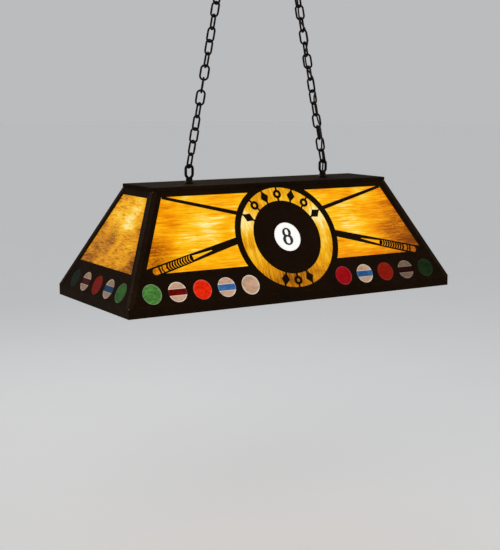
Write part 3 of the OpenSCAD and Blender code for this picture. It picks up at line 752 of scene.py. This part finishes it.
def add_link(work, place, number):
    """One welded link: round wire bent to an oval, with a low bead where its ends meet."""
    path = link_path()
    rows = []
    for i, point in enumerate(path):
        along = (path[(i + 1) % len(path)] - path[i - 1]).normalized()
        across = Vector((0, 1, 0))
        out = along.cross(across)
        from_weld = min(i, len(path) - i)
        bead = WELD_BEAD * math.exp(-(from_weld / WELD_SPREAD) ** 2)
        rub = WIRE_RUB * noise.noise(Vector((i * 0.6, number * 3.7, 0)))
        radius = LINK_D / 2 + bead + rub
        turns = [math.tau * k / WIRE_SIDES for k in range(WIRE_SIDES)]
        rows.append([place @ (point + radius * (out * math.cos(turn) + across * math.sin(turn)))
                     for turn in turns])
    grid(work, rows, closed_along=True)


def build_chain(side, turns):
    low = middle(f"{side}_bottom_link")
    high = middle(f"{side}_top_link")
    sign = 1 if side == "right" else -1
    tilt = Matrix.Rotation(-sign * LEAN, 4, "Y")

    def run(name, node, body, numbers):
        work = bmesh.new()
        for n in numbers:
            spot = low.lerp(high, (n - 1) / (LINKS - 1))
            twist = Matrix.Rotation(math.radians(turns[n - 1] + 90 * (n % 2)), 4, "Z")
            add_link(work, Matrix.Translation(spot) @ tilt @ twist, n + sign * 40)
        piece(name, to_mesh(name, work), chain_black, body, "chain_metal", node)

    run(f"{side}_hook_link_low", f"{side}_bottom_link", f"{side}_bottom_link", [1])
    run(f"{side}_chain_run", f"{side}_chain_links", f"{side}_chain", range(2, LINKS))
    run(f"{side}_hook_link_high", f"{side}_top_link", f"{side}_top_link", [LINKS])


# ---- Supply cord ----

CORD_D = 5.5 * MM
CORD_SIDES = 16
CORD_STEPS = 10
BRAID_TURN = 14 * MM
BRAID_STRANDS = 4
BRAID_DEPTH = 0.10 * MM
# From link to link, in mm
PITCH = 40.7
# Lengths of cord that bend with a chain's end link, and how far either side of a hook they bend
LOW_LENGTH = 55 * MM
HIGH_LENGTH = 60 * MM
END_BEND = 22 * MM
LINK_BEND = 16 * MM
# The cord's first points, in mm over the shade loop's foot. Upside down they end it in the canopy.
CORD_END = [(0, 0, -9), (0, 0, 16), (2, 3, 29), (6.5, 8, 44), (7.2, 8.5, 58)]
# Its points in and out of the links: across the chain in mm, and along it in half links
CORD_WEAVE = [
    (7.4, 6.6, 0), (7.2, 6.6, 1), (5, -1, 2), (4.5, -8, 3), (4.5, -8, 5), (5, -1, 6),
    (7.5, 5.5, 7), (7.4, 7.3, 9), (5, 0.5, 10), (8, -5.5, 11), (9.5, -3.5, 13), (4.5, 3, 14),
    (1, 10, 15), (1, 10, 17), (4.5, 3, 18), (10, -2, 19), (10, -2, 21), (4.5, 3, 22),
    (1.5, 10, 23), (3, 9.5, 25), (6.5, 9.5, 27), (6.5, 8.5, 28),
]


def cord_route():
    """The cord's points: up the shade loop's foot, along the right chain, into the canopy."""
    foot = Vector((middle("right_shade_loop").x, 0, cap_high.z))
    rose = Vector((middle("right_canopy_loop").x, 0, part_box("ceiling_canopy")[0].z))
    link = middle("right_bottom_link")
    route = [foot + Vector(p) * MM for p in CORD_END]
    for x, y, halves in CORD_WEAVE:
        h = halves * PITCH / 2
        route.append(link + MM * Vector((x * math.cos(LEAN) - h * math.sin(LEAN), y,
                                         x * math.sin(LEAN) + h * math.cos(LEAN))))
    route += [rose + Vector((x, y, -z)) * MM for x, y, z in reversed(CORD_END)]
    return route


def cord_rings(route):
    """Rings of points round the cord, each with how high the woven strands stand at every point."""
    length = 0.0
    rings = []
    for i, point in enumerate(route):
        length += (point - route[i - 1]).length if i else 0
        along = (route[min(i + 1, len(route) - 1)] - route[max(i - 1, 0)]).normalized()
        across = along.cross(Vector((0, 1, 0))).normalized()
        up = across.cross(along)
        winding = BRAID_STRANDS * math.tau * length / BRAID_TURN
        ring, ribs = [], []
        for k in range(CORD_SIDES):
            angle = math.tau * k / CORD_SIDES
            strand = BRAID_STRANDS * angle
            rib = 0.5 + 0.25 * (math.cos(strand + winding) + math.cos(strand - winding))
            radius = CORD_D / 2 - BRAID_DEPTH * (1 - rib)
            ring.append(point + radius * (across * math.cos(angle) + up * math.sin(angle)))
            ribs.append(rib)
        rings.append((ring, ribs))
    return rings


def build_cord():
    """One smooth tube, cut where bodies meet so that each length follows its own bodies."""
    spots = curve_through(cord_route(), CORD_STEPS)
    rings = cord_rings(spots)
    low = middle("right_bottom_link").z
    high = middle("right_top_link").z
    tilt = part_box("right_shade_loop")[1].z
    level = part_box("right_bottom_link")[1].z
    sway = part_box("right_top_link")[0].z
    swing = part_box("right_canopy_loop")[0].z
    chain_start, chain_end = low + LOW_LENGTH, high - HIGH_LENGTH
    # name, lower end, upper end, bodies, the hook's height, reach of the bend
    cuts = (
        ("cord_at_shade", -math.inf, low, ("shade", "right_bottom_link"), tilt, END_BEND),
        ("cord_at_hook", low, chain_start, ("right_bottom_link", "right_chain"), level, LINK_BEND),
        ("cord_on_chain", chain_start, chain_end, ("right_chain",), 0, 0),
        ("cord_at_top_link", chain_end, high, ("right_top_link", "right_chain"), sway, LINK_BEND),
        ("cord_at_canopy", high, math.inf, ("ceiling", "right_top_link"), swing, END_BEND),
    )
    for name, start, end, bodies, pivot, reach in cuts:
        first = next(i for i, p in enumerate(spots) if p.z >= start)
        last = next((i for i, p in enumerate(spots) if p.z >= end), len(spots) - 1)
        work = bmesh.new()
        layer = work.verts.layers.float.new("braid")
        made = grid(work, [ring for ring, _ in rings[first:last + 1]])
        for row, (_, ribs) in zip(made, rings[first:last + 1]):
            for v, rib in zip(row, ribs):
                v[layer] = rib
        if name in ("cord_at_shade", "cord_at_canopy"):
            work.faces.new(made[0] if name == "cord_at_shade" else made[-1])
        mesh = to_mesh(name, work)
        if len(bodies) == 1:
            piece(name, mesh, cord_cloth, bodies[0], "cord_cover", "power_cord")
            continue
        made = piece(name, mesh, cord_cloth, None, "cord_cover", "power_cord")
        under = Vector((spots[first].x, 0, pivot - reach))
        over = Vector((spots[first].x, 0, pivot + reach))
        if bodies[0] in ("shade", "right_bottom_link"):
            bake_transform(made, bodies[0], bodies[1], start=under, end=over)
        else:
            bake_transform(made, bodies[0], bodies[1], start=over, end=under)


# ---- Bulbs ----

BULB_SWEEP = 125
BULB_STEPS = 24
CAP_R = 13.2 * MM
CAP_LOW = 85.5 * MM
CAP_H = 19 * MM
CAP_SIDES = 36
CAP_STEPS = 40
THREAD_PITCH = 3.6 * MM
THREAD_DEPTH = 0.5 * MM
# Radii and heights over the bulb's lowest point, in mm
NECK = ((21.4, 55), (18.2, 63), (15.6, 71), (13.6, 78), (12.6, 84), (12.4, 87))
CAP_TOP = ((11.2, 105.6), (9.0, 107.2))
INSULATOR = ((8.8, 107.3), (7.6, 108.4), (5.4, 109.0), (5.0, 109.1))
CONTACT = ((4.6, 109.0), (4.4, 110.0), (3.2, 110.7), (1.0, 110.95))


def in_mm(profile):
    return [(radius * MM, height * MM) for radius, height in profile]


def bulb_outline():
    """The envelope: a globe that runs into a tapered neck."""
    outline = [(0.3 * MM, 0.01 * MM)]
    for k in range(1, BULB_STEPS + 1):
        angle = math.radians(-90 + BULB_SWEEP * k / BULB_STEPS)
        outline.append((BULB_R * math.cos(angle), BULB_R + BULB_R * math.sin(angle)))
    return outline + in_mm(NECK) + [(0.3 * MM, 87 * MM)]


def level_ring(x, z, radius_at):
    """A level ring of points about (x, 0, z), with a radius for each angle."""
    turns = [math.tau * k / CAP_SIDES for k in range(CAP_SIDES)]
    return [Vector((x + radius_at(turn) * math.cos(turn), radius_at(turn) * math.sin(turn), z))
            for turn in turns]


def screw_cap(x, foot):
    """A screw cap's mesh, its thread fading out at both ends."""
    rows = []
    for j in range(CAP_STEPS + 1):
        t = j / CAP_STEPS
        rise = CAP_H * t
        fade = min(1.0, t * 6, (1 - t) * 5)

        def radius_at(turn):
            wave = math.cos(math.tau * rise / THREAD_PITCH - turn)
            return CAP_R - 0.55 * MM + THREAD_DEPTH * wave * fade

        rows.append(level_ring(x, foot + CAP_LOW + rise, radius_at))
    for radius, height in in_mm(CAP_TOP):
        rows.append(level_ring(x, foot + height, lambda turn: radius))
    work = bmesh.new()
    made = grid(work, rows)
    work.faces.new(made[0])
    work.faces.new(made[-1])
    return work


def build_bulbs():
    for n, (low, high) in enumerate(bulb_boxes, 1):
        x = (low.x + high.x) / 2
        place = Matrix.Translation((x, 0, low.z))

        def part(name, work, material, *replaced):
            mesh = to_mesh(f"{name}_{n}", work)
            return piece(f"{name}_{n}", mesh, material, f"bulb_{n}", "bulb_glass", *replaced)

        work = bmesh.new()
        turned(work, bulb_outline(), 40, place)
        smooth_by_angle(part("bulb_envelope", work, frosted, f"bulb_{n}"), 50)
        part("bulb_screw_cap", screw_cap(x, low.z), brass)
        for name, profile, sides, material in (("bulb_insulator", INSULATOR, 28, phenolic),
                                               ("bulb_contact", CONTACT, 24, solder)):
            work = bmesh.new()
            turned(work, in_mm(profile), sides, place)
            part(name, work, material)


# ---- Finishes of the CAD nodes ----

black_steel = aged_steel("rubbed_black_steel", "#100904", "#24160c", "#4a3320", 0.50, 0.015)
cap_steel = aged_steel("rubbed_cap_steel", "#120b06", "#241810", "#523b27", 0.72, 0.01)
# Hip trims: rubbed steel, glossier than the panels, and a lighter brown as a painted highlight along the
# hips.
trim_steel = aged_steel("rubbed_trim_steel_painted_highlight", "#110a05", "#2c1d10", "#553d28", 0.44, 0.03)
chain_black = aged_steel("blackened_chain", "#080504", "#170f0a", "#3a2a1b", 0.42, 0.10)
inner_steel = aged_steel("painted_inner_steel", "#1c1815", "#332c26", "#6a5a48", 0.50, 0.16)
zinc = plated_steel("zinc_hardware", "#b8b4ac", "#7f7a72")
brass = plated_steel("bulb_cap_metal", "#cdb98a", "#9a8452")
solder = plated_steel("solder_contact", "#b9b9b6", "#8b8a86")
phenolic = moulded("socket_phenolic", "#14110f", "#241e1a")
numeral_black = moulded("numeral_enamel", "#050505", "#12100f", roughness=0.4)
wire_plastic = moulded("wire_plastic", "#cfc8b8", "#e2dccd", roughness=0.45)
cord_cloth = braided("braided_cord", "#080606", "#231b16")
opal = number_glass()
frosted = bulb_glow()

# Each finish, how far it rounds the edges, and the nodes that have it
CAD_FINISHES = (
    (black_steel, 0.22 * MM, ("front_panel", "rear_panel", "left_end_panel", "right_end_panel")),
    (black_steel, 0.45 * MM, ("bottom_rim", "ceiling_canopy")),
    (trim_steel, 0.40 * MM, ("hip_trims",)),
    (cap_steel, 0.60 * MM, ("top_cap",)),
    (black_steel, 0.30 * MM, ("canopy_cap_nuts",)),
    (inner_steel, 0.30 * MM, ("top_frame", "lamp_bar")),
    (inner_steel, 0.0, ("socket_stems", "socket_caps")),
    (chain_black, 0.0, ("left_shade_loop", "right_shade_loop",
                        "left_canopy_loop", "right_canopy_loop")),
    (zinc, 0.25 * MM, ("glass_clips", "ball_glass_rails", "mounting_strap", "shade_loop_washers",
                       "shade_loop_nuts", "canopy_loop_nuts", "stem_nuts")),
    (zinc, 0.0, ("canopy_screws",)),
    (phenolic, 0.0, ("socket_bodies",)),
    (wire_plastic, 0.0, ("wiring_harness",)),
    (numeral_black, 0.20 * MM, ("numerals",)),
)


def finish_steelwork():
    for material, width, names in CAD_FINISHES:
        for name in names:
            finish_node(name, material, width)


# ---- Stage ----

FLOOR_DROP = 1.0
FLOOR_REACH = 55.0


def build_stage():
    bpy.ops.mesh.primitive_circle_add(vertices=96, radius=FLOOR_REACH, fill_type="NGON",
                                      location=(0, 0, rim_low.z - FLOOR_DROP))
    floor = bpy.context.object
    floor.name = "studio_floor"
    pale = Shader("pale_floor", Roughness=0.75, Specular_IOR_Level=0.32)
    drift = pale.noise(1.5, detail=2)
    pale.set("Base Color", pale.mix(drift, srgb("#fcfcfb"), srgb("#ffffff")))
    floor.data.materials.append(pale.material)


def area_light(name, place, target, width, height, power, colour):
    lamp = bpy.data.lights.new(name, "AREA")
    lamp.shape = "RECTANGLE"
    lamp.size, lamp.size_y = width, height
    lamp.energy = power
    lamp.color = colour
    made = bpy.data.objects.new(name, lamp)
    bpy.context.scene.collection.objects.link(made)
    made.location = place
    made.rotation_euler = (Vector(target) - Vector(place)).to_track_quat("-Z", "Y").to_euler()


SKY_COLOUR = (0.80, 0.81, 0.83, 1)
SKY_STRENGTH = 0.62
SHADE_MIDDLE = 0.2


def build_lights():
    world = bpy.data.worlds.new("studio")
    bpy.context.scene.world = world
    world.use_nodes = True
    sky = world.node_tree.nodes["Background"]
    sky.inputs[0].default_value = SKY_COLOUR
    sky.inputs[1].default_value = SKY_STRENGTH
    heart = (0, 0, rim_low.z + SHADE_MIDDLE)
    area_light("key_light", (-2.6, -3.0, 1.6), heart, 2.4, 2.0, 34, (1, 0.98, 0.95))
    area_light("fill_light", (3.2, -2.2, 0.4), heart, 2.6, 2.2, 12, (0.94, 0.97, 1))
    area_light("rim_light", (0.6, 3.2, 1.4), heart, 3.0, 1.6, 22, (1, 0.99, 0.97))


CAMERA_PLACE = (-2.0941, -3.3764, -0.4274)
CAMERA_YAW = 31.415
CAMERA_PITCH = -8.944
CAMERA_LENS = 77.88
CAMERA_SENSOR = 36
CAMERA_SIGHT = 60


def build_camera():
    lens = bpy.data.cameras.new("camera")
    lens.lens = CAMERA_LENS
    lens.sensor_width = CAMERA_SENSOR
    lens.clip_end = CAMERA_SIGHT
    made = bpy.data.objects.new("camera", lens)
    bpy.context.scene.collection.objects.link(made)
    made.location = CAMERA_PLACE
    made.rotation_euler = (math.radians(90 + CAMERA_PITCH), 0, math.radians(-CAMERA_YAW))
    bpy.context.scene.camera = made
    bpy.context.scene.view_settings.view_transform = "Standard"


build_camera()
build_cord()
finish_steelwork()
build_panes()
build_windows()
build_number_discs()
build_chain("right", RIGHT_TURNS)
build_chain("left", LEFT_TURNS)
build_bulbs()
build_stage()
build_lights()
